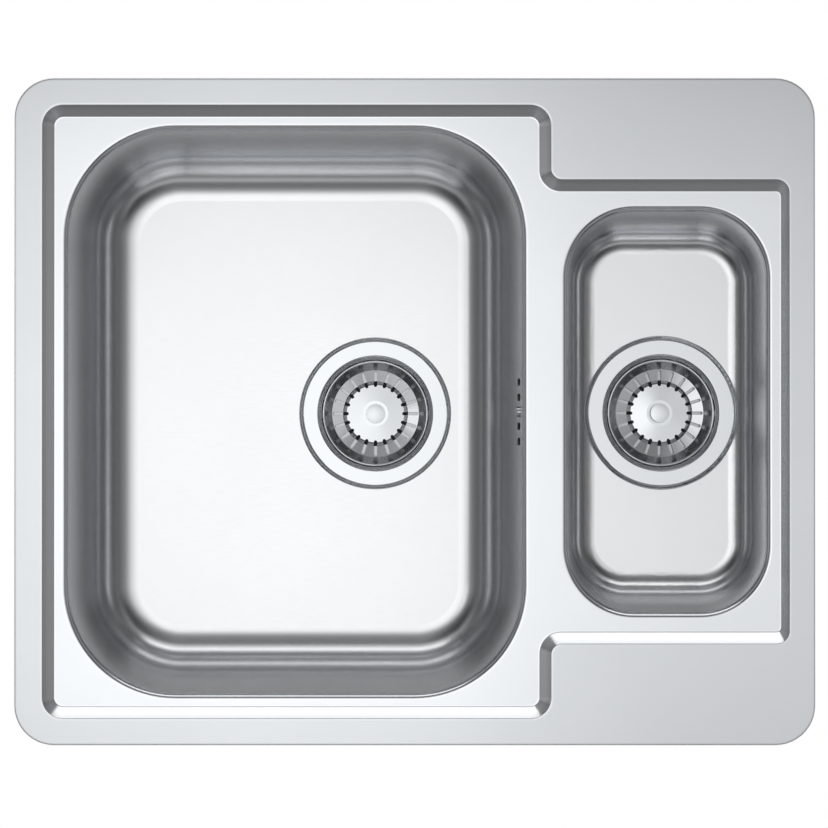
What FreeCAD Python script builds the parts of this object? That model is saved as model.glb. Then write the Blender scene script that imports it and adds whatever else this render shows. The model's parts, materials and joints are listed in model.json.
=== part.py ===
import FreeCAD, Part
import math
import os

# Inset kitchen sink in pressed stainless steel: one main bowl, one half bowl,
# two basket wastes, an overflow and eight worktop clips.
# Origin: centre of the worktop cut-out, on the worktop's top face.
# +X runs along the long side towards the half bowl, +Y to the rear, +Z up.
# All lengths are in millimetres.

V = FreeCAD.Vector
UP = V(0, 0, 1)
CENTRE = V(0, 0, 0)

# Overall sizes
rim_length = 600.0
rim_width = 500.0
sheet = 0.8
overrun = 5.0

# Levels, from the worktop's top face
rim_height = 4.0
ledge_depth = 3.0
weld_depth = 8.0
main_depth = 156.0
half_depth = 106.0

# Rim and pressed step
rim_corner_r = 30.0
rim_edge_r = 2.0
rim_band = 19.6
rim_band_left = 20.4
rim_band_right = 19.0
step_run = 9.6
step_run_right = 6.5
step_corner_r = 16.0
step_ledge_corner_r = 7.0
step_bend_r = 8.0
step_ledge_bend_r = 16.0
step_far_corner_r = 10.0
step_ledge_far_corner_r = 3.8
step_brow_r = 3.0
step_foot_r = 2.6
pan_margin = 3.0

# Ledge between the step and the bowls
ledge_left = 9.6
ledge_main = 8.95
ledge_mid = 12.4
ledge_right = 10.7
ledge_side = 13.75
bridge = 34.0
lip_r = 4.5

# Bowls
half_length = 149.0
plateau_depth = 55.9
main_corner_r = 81.0
half_corner_r = 50.0
main_draft = math.radians(6.5)
half_draft = math.radians(3.6)
half_end_draft = math.radians(7.6)
main_floor_r = 33.0
half_floor_r = 18.0

# Waste recess and hole in each floor
waste_hole_r = 45.0
recess_depth = 4.0
recess_floor_r = 57.5
recess_run = 0.8
recess_brow_r = 1.1
recess_foot_r = 1.2
main_waste_margin = 6.3

# Foam seal under the rim
seal_inset = 2.3
seal_width = 7.2

# Sound pads under the floors
pad_thick = 3.0
pad_corner_r = 24.0
pad_inset = 10.0
pad_waste_gap = 4.0
half_pad_corner_r = 12.0

# Strainer dish, measured from the top of its flange
flange_r = 57.0
flange_lap = 0.3
flange_edge_r = 1.6
flange_seal_thick = 1.5
flange_seal_width = 5.5
flange_seal_inner_r = 46.0
dish_brow_r = 44.5
dish_brow_bend = 1.4
dish_mouth_r = 41.9
dish_mouth_drop = 4.2
dish_foot_r = 39.6
dish_depth = 36.5
dish_mouth_bend = 2.0
dish_foot_bend = 4.0
dimple_r = 7.8
dimple_floor_r = 6.9
dimple_depth = 2.5
port_inner_r = 9.4
port_outer_r = 16.4
port_spoke = 4.0
port_count = 4

# Centre screw and its brass insert
centre_screw_r = 3.0
centre_screw_hole_gap = 0.3
thread_gap = 0.05
centre_head_r = 5.5
centre_head_height = 2.2
centre_slot_width = 1.4
centre_slot_depth = 1.0
insert_r = 5.0
insert_length = 12.0
insert_cover = 2.0

# Plastic waste body
body_seal_thick = 3.0
body_seal_inner_r = 46.5
body_seal_width = 9.0
body_flange_r = 57.0
body_wall = 3.4
cup_r = 44.5
cup_depth = 44.0
funnel_drop = 10.0
outlet_bore_r = 20.5
outlet_length = 24.0
cup_bend_r = 4.0
body_hub_r = 8.0
body_hub_gap = 0.5
body_rib = 3.0
body_rib_height = 13.0
grip_count = 12
grip_width = 5.0
grip_depth = 1.3

# Overflow inlet on the main waste body
spigot_r = 10.0
spigot_bore_r = 7.6
spigot_length = 26.0
inlet_drop = 20.0
inlet_boss_r = 12.5
inlet_boss_rise = 1.5

# Lift-out basket
basket_rim_r = 41.2
basket_rim_drop = 5.0
basket_hem = 2.0
basket_hem_r = 0.9
basket_wall_r = 39.3
basket_cone_r = 33.9
basket_cone_drop = 28.4
basket_shelf_r = 25.4
basket_shelf_drop = 30.0
basket_groove_r = 23.9
basket_groove_drop = 30.8
basket_disc_r = 22.4
basket_disc_drop = 30.0
basket_crown_r = 10.0
basket_crown_drop = 29.0
basket_bend_r = 1.1
slot_count = 20
slot_width = 2.6
slot_inner_r = 20.9
slot_outer_r = 33.4

# Basket knob
knob_r = 7.2
knob_neck_r = 4.2
knob_foot_r = 5.6
knob_foot_height = 2.0
knob_neck_height = 5.8
knob_brim_height = 8.6
knob_cap_height = 10.0
knob_height = 11.0
knob_stem_r = 3.0
rivet_r = 4.2
rivet_gap = 0.3
rivet_height = 1.2

# Stopper under the basket
stopper_gap = 0.3
stopper_seal_r = 25.4
stopper_seal_thick = 2.0
stopper_lip = 0.8
stopper_hub_r = 9.2
stopper_sleeve_r = 6.5

# Overflow in the wall of the main bowl
overflow_drop = 24.0
overflow_slot_width = 5.5
overflow_slot_height = 16.0
overflow_pitch = 11.5
overflow_first = 10.9
overflow_seal_thick = 2.0
overflow_seal_band = 3.0
overflow_length = 62.0
overflow_height = 26.0
overflow_depth = 20.0
overflow_wall = 2.0
overflow_corner_r = 6.0
overflow_spigot_drop = 22.0
overflow_boss_r = 4.8
overflow_screw_r = 2.5
overflow_head_r = 4.0
overflow_head_height = 2.4
overflow_screw_reach = 16.0
overflow_slot_cut = 1.0

# Worktop clips
clip_gap = 0.4
clip_strap = 1.2
clip_bracket_width = 12.0
clip_bracket_half = 12.0
clip_foot = 8.0
clip_top_gap = 2.0
clip_bend_r = 1.6
clip_nut_side = 8.0
clip_nut_thick = 4.0
clip_screw_r = 2.5
clip_hole_gap = 0.3
clip_travel = 13.0
clip_grip_depth = 43.0
clip_toe_rise = 4.0
claw_thick = 2.0
claw_wall = 1.5
claw_side = 3.0
claw_reach = 33.0
claw_toe = 9.0
claw_heel = 9.0
claw_width = 16.0
claw_heel_r = 3.0
claw_tooth_count = 3
claw_tooth_depth = 1.4
washer_r = 6.0
washer_thick = 1.0
clip_head_across = 8.0
clip_head_height = 3.5
clip_head_slot = 1.2
clip_head_slot_depth = 1.5

# Clip places, as shares of the rim's length or width
left_clip_shares = (-0.22, 0.22)
right_clip_shares = (-0.19, 0.19)
main_clip_share = -0.25
half_clip_share = 0.32


# Levels and edges that follow from the sizes
rim_top = rim_height
ledge_top = -ledge_depth
weld_level = -weld_depth
main_floor = -main_depth
half_floor = -half_depth

step_left = -rim_length / 2 + rim_band_left
step_right = rim_length / 2 - rim_band_right
step_main_y = rim_width / 2 - rim_band
ledge_left_x = step_left + step_run
ledge_right_x = step_right - step_run_right
ledge_main_y = step_main_y - step_run

main_left = ledge_left_x + ledge_left
half_right = ledge_right_x - ledge_right
half_left = half_right - half_length
main_right = half_left - bridge
ledge_mid_x = main_right + ledge_mid
main_half_x = (main_right - main_left) / 2
main_half_y = ledge_main_y - ledge_main
main_x = (main_right + main_left) / 2
half_half_x = half_length / 2
ledge_side_y = ledge_main_y - plateau_depth
half_half_y = ledge_side_y - ledge_side
half_x = (half_right + half_left) / 2

floor_to_flange = recess_depth - flange_seal_thick - sheet
main_flange = main_floor - floor_to_flange
half_flange = half_floor - floor_to_flange
recess_brow_run_r = recess_floor_r + recess_run


def tangent_reach(radius, turn):
    """Length that a bend of this radius takes from each side of its corner."""
    return radius * math.tan(turn / 2)


def bend_growth(run, drop):
    """Sideways growth of a sloped face for each unit of sheet below it."""
    return math.tan(math.atan2(drop, run) / 2)


def flat_inset(floor, draft, floor_r):
    """Distance in plan from a bowl's edge to the flat of its floor."""
    return (ledge_top - floor) * math.tan(draft) + tangent_reach(floor_r, math.pi / 2 - draft)


main_flat_inset = flat_inset(main_floor, main_draft, main_floor_r)
main_floor_right = main_right - main_flat_inset
main_waste_x = main_floor_right - recess_brow_run_r - main_waste_margin
half_waste_x = half_x
lip_reach = tangent_reach(lip_r, math.pi / 2 - main_draft)


# Paths, outlines and sheet shapes
def rounded_path(points, radii, closed=False):
    """Straight edges through the points, with a tangent arc at each corner that has a radius."""
    count = len(points)
    corners = range(count) if closed else range(1, count - 1)
    starts = list(points)
    ends = list(points)
    arcs = {}
    for i in corners:
        radius = radii[i] if closed else radii[i - 1]
        if radius == 0:
            continue
        back = (points[i - 1] - points[i]).normalize()
        ahead = (points[(i + 1) % count] - points[i]).normalize()
        half_angle = back.getAngle(ahead) / 2
        reach = radius / math.tan(half_angle)
        starts[i] = points[i] + back * reach
        ends[i] = points[i] + ahead * reach
        inward = (back + ahead).normalize()
        middle = points[i] + inward * (radius / math.sin(half_angle) - radius)
        arcs[i] = Part.Arc(starts[i], middle, ends[i]).toShape()
    edges = []
    for i in range(count):
        if i in arcs:
            edges.append(arcs[i])
        if closed or i < count - 1:
            following = starts[(i + 1) % count]
            if (following - ends[i]).Length > Part.Vertex(ends[i]).Tolerance:
                edges.append(Part.LineSegment(ends[i], following).toShape())
    return edges


def rectangle(x, y, length, width, radius, z):
    """Wire of a rounded rectangle, centred on x and y."""
    quarters = ((-1, -1), (1, -1), (1, 1), (-1, 1))
    corners = [V(x + across * length / 2, y + along * width / 2, z) for across, along in quarters]
    return Part.Wire(rounded_path(corners, [radius] * len(corners), closed=True))


def plate(wire, height):
    """Solid that stands on a flat outline."""
    return Part.Face(wire).extrude(UP * height)


def sheet_face(points, radii, thickness):
    """Flat face of bent sheet: the points are its outer side, the metal lies to their left."""
    directions = [(b - a).normalize() for a, b in zip(points, points[1:])]
    normals = [V(-d.z, 0, d.x) for d in directions]
    offset = [points[0] + normals[0] * thickness]
    inner_radii = []
    for i in range(1, len(points) - 1):
        bisector = (normals[i - 1] + normals[i]).normalize()
        offset.append(points[i] + bisector * (thickness / bisector.dot(normals[i])))
        turn = directions[i - 1].x * directions[i].z - directions[i - 1].z * directions[i].x
        radius = radii[i - 1]
        inner_radii.append(radius and radius - math.copysign(thickness, turn))
    offset.append(points[-1] + normals[-1] * thickness)
    near = rounded_path(points, radii)
    far = rounded_path(offset, inner_radii)
    start = Part.LineSegment(offset[0], points[0]).toShape()
    end = Part.LineSegment(points[-1], offset[-1]).toShape()
    return Part.Face(Part.Wire(Part.__sortEdges__([start] + near + [end] + far)))


def turned(face):
    """Solid of revolution about the vertical axis."""
    return face.revolve(CENTRE, UP, 360)


def turned_profile(points):
    """Solid turned from a closed outline of radius and height pairs."""
    corners = [V(r, 0, z) for r, z in points]
    return turned(Part.Face(Part.makePolygon(corners + corners[:1])))


def turned_sheet(points, radii, thickness):
    """Turned shell of even thickness from radius and height pairs."""
    return turned(sheet_face([V(r, 0, z) for r, z in points], radii, thickness))


def ring(inner_r, outer_r, low, high):
    """Flat ring between two heights."""
    outer = Part.makeCylinder(outer_r, high - low, V(0, 0, low))
    return outer.cut(Part.makeCylinder(inner_r, high - low, V(0, 0, low)))


def slot(length, width, height, low):
    """Round-ended bar along X, centred on the vertical axis."""
    straight = (length - width) / 2
    body = Part.makeBox(straight * 2, width, height, V(-straight, -width / 2, low))
    for x in (-straight, straight):
        body = body.fuse(Part.makeCylinder(width / 2, height, V(x, 0, low)))
    return body.removeSplitter()


def around(shape, count):
    """Copies of a shape, evenly spaced about the vertical axis."""
    copies = []
    for i in range(count):
        copy = shape.copy()
        copy.rotate(CENTRE, UP, i * 360 / count)
        copies.append(copy)
    return copies


def level_edges(shape, z, x_low, x_high, y_half, slack):
    """Edges that lie flat at height z inside a rectangle about the X axis."""
    chosen = []
    for edge in shape.Edges:
        box = edge.BoundBox
        flat = abs(box.ZMin - z) < slack and abs(box.ZMax - z) < slack
        in_length = box.XMin > x_low and box.XMax < x_high
        in_width = box.YMin > -y_half and box.YMax < y_half
        if flat and in_length and in_width:
            chosen.append(edge)
    return chosen


# Deck: rim, step and ledge
def step_wire(rise_share, growth, z):
    """Outline of the step, from the ledge at share 0 to the rim at share 1."""
    left = ledge_left_x - rise_share * step_run - growth
    right = ledge_right_x + rise_share * step_run_right + growth
    middle = ledge_mid_x + rise_share * step_run + growth
    main_y = ledge_main_y + rise_share * step_run + growth
    side_y = ledge_side_y + rise_share * step_run + growth
    corner = step_ledge_corner_r + rise_share * (step_corner_r - step_ledge_corner_r) + growth
    bend = step_ledge_bend_r + rise_share * (step_bend_r - step_ledge_bend_r) - growth
    far = step_ledge_far_corner_r + rise_share * (step_far_corner_r - step_ledge_far_corner_r) + growth
    lower = [(left, -main_y), (middle, -main_y), (middle, -side_y), (right, -side_y)]
    upper = [(x, -y) for x, y in reversed(lower)]
    corners = [V(x, y, z) for x, y in lower + upper]
    radii = [corner, corner, bend, far]
    return Part.Wire(rounded_path(corners, radii + radii[::-1], closed=True))


def step_recess(depth):
    """Space above the step and ledge, for a surface that lies this deep in the sheet."""
    drop = rim_top - ledge_top
    growth = depth * bend_growth(step_run, drop)
    low = step_wire(0, growth, ledge_top - depth)
    over_share = 1 + overrun / drop
    high = step_wire(over_share, growth, rim_top - depth + overrun)
    space = Part.makeLoft([low, high], True, True)
    foot = [e for e in space.Edges if e.BoundBox.ZMax < ledge_top - depth + sheet / 2]
    return space.makeFillet(step_foot_r + depth, foot)


def bowl_wire(x, half_sizes, corner_r, drafts, depth, z):
    """Outline of a bowl's walls at height z, for a surface this deep in the sheet."""
    insets = [(ledge_top - z) * math.tan(d) - depth / math.cos(d) for d in drafts]
    length, width = [2 * (size - inset) for size, inset in zip(half_sizes, insets)]
    return rectangle(x, 0, length, width, corner_r - sum(insets) / 2, z)


def main_wire(depth, z):
    half_sizes = (main_half_x, main_half_y)
    return bowl_wire(main_x, half_sizes, main_corner_r, (main_draft, main_draft), depth, z)


def half_wire(depth, z):
    half_sizes = (half_half_x, half_half_y)
    return bowl_wire(half_x, half_sizes, half_corner_r, (half_draft, half_end_draft), depth, z)


def deck_form(depth):
    """Solid below the deck's surface, sunk this deep into the sheet."""
    top = rim_top - depth
    block_length = rim_length - 2 * depth
    block_width = rim_width - 2 * depth
    low = -depth
    block = plate(rectangle(0, 0, block_length, block_width, rim_corner_r - depth, low), top - low)
    crown = [e for e in block.Edges if e.BoundBox.ZMin > top - sheet / 2]
    block = block.makeFillet(rim_edge_r - depth, crown)
    pan_low = weld_level - depth
    pan = plate(step_wire(1, pan_margin + depth, pan_low), ledge_top + ledge_depth - pan_low)
    form = block.fuse(pan).cut(step_recess(depth))
    for wire in (main_wire, half_wire):
        high = wire(depth, ledge_top + overrun)
        deep = wire(depth, pan_low - overrun)
        form = form.cut(Part.makeLoft([deep, high], True, True))
    slack = sheet / 4
    near = step_run / 2
    brow = level_edges(form, top, step_left - near, step_right + near, step_main_y + near, slack)
    form = form.makeFillet(step_brow_r - depth, brow)
    ledge = ledge_top - depth
    near = lip_r / 2
    lips = level_edges(form, ledge, main_left - near, main_right + near, main_half_y + near, slack)
    lips += level_edges(form, ledge, half_left - near, half_right + near, half_half_y + near, slack)
    return form.makeFillet(lip_r - depth, lips)


def deck():
    """Rim, step and ledge pressed from one sheet, with a short collar round each opening."""
    return deck_form(0).cut(deck_form(sheet)).removeSplitter()


# Bowls
def waste_recess(x, floor, depth):
    """Round recess below a floor that seats the waste's flange."""
    growth = depth * bend_growth(recess_run, recess_depth)
    slope = recess_run / recess_depth
    height = recess_depth + overrun
    low_r = recess_floor_r + growth
    low = V(x, 0, floor - recess_depth - depth)
    cone = Part.makeCone(low_r, low_r + height * slope, height, low)
    foot = [e for e in cone.Edges if e.BoundBox.ZMax < low.z + sheet / 2]
    return cone.makeFillet(recess_foot_r + depth, foot)


def brow_edges(body, x, floor):
    """Edges where the waste recess meets the floor and its bends."""
    reach = recess_brow_run_r + recess_depth
    chosen = []
    for edge in body.Edges:
        box = edge.BoundBox
        middle = edge.valueAt((edge.FirstParameter + edge.LastParameter) / 2)
        near = math.hypot(middle.x - x, middle.y) < reach
        if near and box.ZMin > floor - recess_foot_r and box.ZMax < floor + recess_depth:
            chosen.append(edge)
    return chosen


def bowl_form(wire, floor, floor_r, waste_x, depth):
    """Solid of a bowl's space, grown this deep into the sheet."""
    bottom = floor - depth
    body = Part.makeLoft([wire(depth, bottom), wire(depth, weld_level)], True, True)
    foot = [e for e in body.Edges if e.BoundBox.ZMax < bottom + sheet / 2]
    body = body.makeFillet(floor_r + depth, foot).fuse(waste_recess(waste_x, floor, depth))
    return body.makeFillet(recess_brow_r - depth, brow_edges(body, waste_x, bottom))


def bowl(wire, floor, floor_r, waste_x):
    """Drawn bowl of even sheet, with its waste recess and hole."""
    outer = bowl_form(wire, floor, floor_r, waste_x, sheet)
    inner = bowl_form(wire, floor, floor_r, waste_x, 0)
    hole_low = floor - recess_depth - sheet - overrun
    hole = Part.makeCylinder(waste_hole_r, recess_depth + sheet + 2 * overrun, V(waste_x, 0, hole_low))
    return outer.cut(inner).cut(hole).removeSplitter()


def overflow_frame():
    """Placement on the outer face of the main bowl's right wall, X out of the wall."""
    inset = (ledge_top + overflow_drop) * math.tan(main_draft) - sheet / math.cos(main_draft)
    turn = FreeCAD.Rotation(V(0, 1, 0), math.degrees(main_draft))
    return FreeCAD.Placement(V(main_right - inset, 0, -overflow_drop), turn)


def placed(shape, placement):
    """Copy of a shape, moved by a placement."""
    copy = shape.copy()
    copy.Placement = placement.multiply(copy.Placement)
    return copy


def overflow_cutters():
    """Slots and the screw hole through the bowl's wall."""
    depth = sheet + 2 * overrun
    upright = slot(overflow_slot_height, overflow_slot_width, depth, -sheet - overrun)
    upright.rotate(CENTRE, V(0, 1, 0), 90)
    cutters = []
    for side in (-1, 1):
        for i in range(2):
            cutter = upright.copy()
            cutter.translate(V(0, side * (overflow_first + i * overflow_pitch), 0))
            cutters.append(cutter)
    hole_r = overflow_screw_r + centre_screw_hole_gap
    cutters.append(Part.makeCylinder(hole_r, depth, V(-sheet - overrun, 0, 0), V(1, 0, 0)))
    return [placed(cutter, overflow_frame()) for cutter in cutters]


def main_bowl():
    """Deep drawn main bowl, with the overflow slots in its right wall."""
    shell = bowl(main_wire, main_floor, main_floor_r, main_waste_x)
    return shell.cut(overflow_cutters())


def half_bowl():
    """Shallow drawn half bowl."""
    return bowl(half_wire, half_floor, half_floor_r, half_waste_x)


# Seal and pads
def rim_seal():
    """Foam strip that lies between the rim and the worktop."""
    outer_length = rim_length - 2 * seal_inset
    outer_width = rim_width - 2 * seal_inset
    outer_r = rim_corner_r - seal_inset
    height = rim_top - sheet
    outer = plate(rectangle(0, 0, outer_length, outer_width, outer_r, 0), height)
    inner_length = outer_length - 2 * seal_width
    inner_width = outer_width - 2 * seal_width
    return outer.cut(plate(rectangle(0, 0, inner_length, inner_width, outer_r - seal_width, 0), height))


def main_sound_pad():
    """Damping pad under the main bowl's flat floor, cut round the waste."""
    inset = main_flat_inset + pad_inset
    length = 2 * (main_half_x - inset)
    width = 2 * (main_half_y - inset)
    low = main_floor - sheet - pad_thick
    pad = plate(rectangle(main_x, 0, length, width, pad_corner_r, low), pad_thick)
    clear_r = recess_brow_run_r + sheet + pad_waste_gap
    return pad.cut(Part.makeCylinder(clear_r, pad_thick, V(main_waste_x, 0, low)))


def half_sound_pads():
    """Two damping pads under the half bowl, one each side of the waste."""
    side_inset = flat_inset(half_floor, half_draft, half_floor_r)
    end_inset = flat_inset(half_floor, half_end_draft, half_floor_r)
    near = recess_brow_run_r + sheet + pad_waste_gap
    far = half_half_y - end_inset - pad_inset / 2
    length = 2 * (half_half_x - side_inset - pad_inset)
    low = half_floor - sheet - pad_thick
    pads = []
    for side in (-1, 1):
        y = side * (near + far) / 2
        pads.append(plate(rectangle(half_x, y, length, far - near, half_pad_corner_r, low), pad_thick))
    return Part.makeCompound(pads)


# Waste kit, built about its own axis with zero at the top of the flange
seat_level = -(flange_seal_thick + sheet)
body_top = seat_level - sheet - body_seal_thick
dish_floor = -dish_depth
dimple_floor = dish_floor - dimple_depth
hub_top = dimple_floor - sheet - body_hub_gap
insert_top = hub_top - insert_cover
insert_low = insert_top - insert_length
cup_low = body_top - cup_depth
funnel_low = cup_low - funnel_drop
outlet_low = funnel_low - outlet_length


def port_cutters():
    """Drain ports round the middle of the dish, parted by spokes."""
    height = sheet + 2 * overrun
    low = dish_floor - sheet - overrun
    annulus = ring(port_inner_r, port_outer_r, low, low + height)
    bar = Part.makeBox(2 * port_outer_r, port_spoke, height, V(-port_outer_r, -port_spoke / 2, low))
    return annulus.cut(around(bar, port_count))


def strainer_dish():
    """Pressed waste dish: flange, sloped shoulder, steep wall, dimpled floor and drain ports."""
    points = [
        (flange_r, seat_level + flange_lap),
        (flange_r, 0),
        (dish_brow_r, 0),
        (dish_mouth_r, -dish_mouth_drop),
        (dish_foot_r, dish_floor),
        (dimple_r, dish_floor),
        (dimple_floor_r, dimple_floor),
        (centre_screw_r + centre_screw_hole_gap, dimple_floor),
    ]
    radii = [flange_edge_r, dish_brow_bend, dish_mouth_bend, dish_foot_bend, 0, 0]
    return turned_sheet(points, radii, sheet).cut(port_cutters())


def flange_seal():
    """Thin ring between the flange and the bowl."""
    return ring(flange_seal_inner_r, flange_seal_inner_r + flange_seal_width, seat_level, -sheet)


def body_seal():
    """Thick ring between the bowl and the plastic body."""
    outer_r = body_seal_inner_r + body_seal_width
    return ring(body_seal_inner_r, outer_r, body_top, body_top + body_seal_thick)


def waste_body(with_inlet):
    """Moulded body: grooved flange, cup, ribbed hub, funnel and threaded outlet."""
    points = [
        (body_flange_r, body_top),
        (cup_r, body_top),
        (cup_r, cup_low),
        (outlet_bore_r, funnel_low),
        (outlet_bore_r, outlet_low),
    ]
    shell = turned_sheet(points, [0, cup_bend_r, 0], body_wall)
    low = hub_top - body_rib_height
    hub_low = insert_low - insert_cover
    hub = Part.makeCylinder(body_hub_r, hub_top - hub_low, V(0, 0, hub_low))
    reach = cup_r + body_wall / 2
    bar = Part.makeBox(2 * reach, body_rib, body_rib_height, V(-reach, -body_rib / 2, low))
    edge = funnel_low - body_wall
    slope_r = outlet_bore_r + body_wall / 2
    inside = [
        (0, body_top),
        (reach, body_top),
        (reach, cup_low),
        (slope_r, funnel_low),
        (slope_r, edge),
        (0, edge),
    ]
    ribs = bar.fuse(around(bar, port_count)).common(turned_profile(inside))
    body = shell.fuse([ribs, hub])
    if with_inlet:
        centre = V(cup_r + body_wall / 2, 0, body_top - inlet_drop)
        length = spigot_length + body_wall / 2
        boss_length = body_wall / 2 + inlet_boss_rise
        body = body.fuse(Part.makeCylinder(inlet_boss_r, boss_length, centre, V(1, 0, 0)))
        body = body.fuse(Part.makeCylinder(spigot_r, length, centre, V(1, 0, 0)))
        start = centre - V(body_wall, 0, 0)
        body = body.cut(Part.makeCylinder(spigot_bore_r, length + body_wall + overrun, start, V(1, 0, 0)))
    grip_at = V(body_flange_r + grip_width / 2 - grip_depth, 0, body_top - body_wall)
    grip = Part.makeCylinder(grip_width / 2, body_wall, grip_at)
    body = body.cut(around(grip, grip_count))
    bore_r = centre_screw_r + centre_screw_hole_gap
    body = body.cut(Part.makeCylinder(bore_r, hub_top - hub_low, V(0, 0, hub_low)))
    return body.cut(Part.makeCylinder(insert_r, insert_length, V(0, 0, insert_low))).removeSplitter()


def insert_nut():
    """Brass insert moulded into the hub."""
    return ring(centre_screw_r + thread_gap, insert_r, insert_low, insert_top)


def centre_screw():
    """Pan-head screw that pulls the dish and the body together."""
    head_top = dimple_floor + centre_head_height
    low = insert_low - insert_cover
    screw = Part.makeCylinder(centre_screw_r, dimple_floor - low, V(0, 0, low))
    head = Part.makeCylinder(centre_head_r, centre_head_height, V(0, 0, dimple_floor))
    crown = [e for e in head.Edges if e.BoundBox.ZMin > head_top - centre_slot_depth / 2]
    head = head.makeFillet(centre_slot_depth, crown)
    cut_low = V(-centre_head_r, -centre_slot_width / 2, head_top - centre_slot_depth)
    return screw.fuse(head).cut(Part.makeBox(2 * centre_head_r, centre_slot_width, overrun, cut_low))


# Basket and stopper
crown_under = -basket_crown_drop - sheet
stopper_low = dish_floor + stopper_gap
stopper_seat = stopper_low + stopper_seal_thick
rivet_top = stopper_low + rivet_gap + rivet_height


def basket():
    """Pressed basket: rolled rim, steep wall, and a shallow cone with slots that end in a groove."""
    points = [
        (basket_rim_r, -basket_rim_drop - basket_hem),
        (basket_rim_r, -basket_rim_drop),
        (basket_wall_r, -basket_rim_drop),
        (basket_cone_r, -basket_cone_drop),
        (basket_shelf_r, -basket_shelf_drop),
        (basket_groove_r, -basket_groove_drop),
        (basket_disc_r, -basket_disc_drop),
        (basket_crown_r, -basket_crown_drop),
        (knob_stem_r, -basket_crown_drop),
    ]
    radii = [basket_hem_r, basket_bend_r, 0, 0, 0, 0, 0]
    shell = turned_sheet(points, radii, sheet)
    low = -basket_groove_drop - sheet - overrun
    height = basket_groove_drop - basket_rim_drop
    cutter = slot(slot_outer_r - slot_inner_r, slot_width, height, low)
    cutter.translate(V((slot_outer_r + slot_inner_r) / 2, 0, 0))
    return shell.cut(around(cutter, slot_count))


def basket_knob():
    """Mushroom knob whose stem is riveted under the stopper hub."""
    floor = -basket_crown_drop
    stem_low = stopper_low + rivet_gap
    neck_edges = [
        V(0, 0, stem_low),
        V(rivet_r, 0, stem_low),
        V(rivet_r, 0, rivet_top),
        V(knob_stem_r, 0, rivet_top),
        V(knob_stem_r, 0, floor),
        V(knob_foot_r, 0, floor),
        V(knob_neck_r, 0, floor + knob_foot_height),
        V(knob_neck_r, 0, floor + knob_neck_height),
        V(knob_r, 0, floor + knob_brim_height),
        V(knob_r, 0, floor + knob_cap_height),
    ]
    edges = [Part.LineSegment(a, b).toShape() for a, b in zip(neck_edges, neck_edges[1:])]
    rise = knob_height - knob_cap_height
    dome_r = (knob_r ** 2 + rise ** 2) / (2 * rise)
    lean = math.asin(knob_r / dome_r) / 2
    top = V(0, 0, floor + knob_height)
    middle = top + V(dome_r * math.sin(lean), 0, dome_r * (math.cos(lean) - 1))
    edges.append(Part.Arc(neck_edges[-1], middle, top).toShape())
    edges.append(Part.LineSegment(top, neck_edges[0]).toShape())
    return turned(Part.Face(Part.Wire(edges)))


def stopper_hub():
    """Plastic hub on which the basket turns."""
    bore_r = knob_stem_r + thread_gap
    pocket_r = rivet_r + rivet_gap
    points = [
        (bore_r, crown_under),
        (stopper_hub_r, crown_under),
        (stopper_hub_r, stopper_seat),
        (stopper_sleeve_r, stopper_seat),
        (stopper_sleeve_r, stopper_low),
        (pocket_r, stopper_low),
        (pocket_r, rivet_top),
        (bore_r, rivet_top),
    ]
    return turned_profile(points)


def stopper_seal():
    """Rubber disc that covers the drain ports, thinned to a lip at its edge."""
    points = [
        (stopper_sleeve_r, stopper_low),
        (stopper_seal_r, stopper_low),
        (stopper_seal_r, stopper_low + stopper_lip),
        (stopper_hub_r, stopper_seat),
        (stopper_sleeve_r, stopper_seat),
    ]
    return turned_profile(points)


# Overflow, built with X out of the bowl's wall
def overflow_ring(length, height, low, high):
    """Rounded block that stands out of the wall."""
    block = plate(rectangle(0, 0, height, length, overflow_corner_r, low), high - low)
    block.rotate(CENTRE, V(0, 1, 0), 90)
    return block


def overflow_seal():
    """Soft ring between the bowl's wall and the overflow head."""
    inner_length = overflow_length - 2 * overflow_seal_band
    inner_height = overflow_height - 2 * overflow_seal_band
    outer = overflow_ring(overflow_length, overflow_height, 0, overflow_seal_thick)
    inner = overflow_ring(inner_length, inner_height, 0, overflow_seal_thick)
    return placed(outer.cut(inner), overflow_frame())


def overflow_head():
    """Moulded box behind the slots, with a boss for its screw and a spigot below."""
    near = overflow_seal_thick
    far = near + overflow_depth
    shell = overflow_ring(overflow_length, overflow_height, near, far)
    middle = (near + far) / 2
    spigot_low = -overflow_height / 2 - overflow_spigot_drop
    shell = shell.fuse(Part.makeCylinder(spigot_r, -spigot_low, V(middle, 0, spigot_low)))
    inner_length = overflow_length - 2 * overflow_wall
    inner_height = overflow_height - 2 * overflow_wall
    shell = shell.cut(overflow_ring(inner_length, inner_height, near - overrun, far - overflow_wall))
    bore_low = spigot_low - overrun
    shell = shell.cut(Part.makeCylinder(spigot_bore_r, -bore_low, V(middle, 0, bore_low)))
    along = V(1, 0, 0)
    shell = shell.fuse(Part.makeCylinder(overflow_boss_r, overflow_depth, V(near, 0, 0), along))
    thread_r = overflow_screw_r + thread_gap
    shell = shell.cut(Part.makeCylinder(thread_r, overflow_screw_reach, V(near, 0, 0), along))
    return placed(shell.removeSplitter(), overflow_frame())


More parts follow.
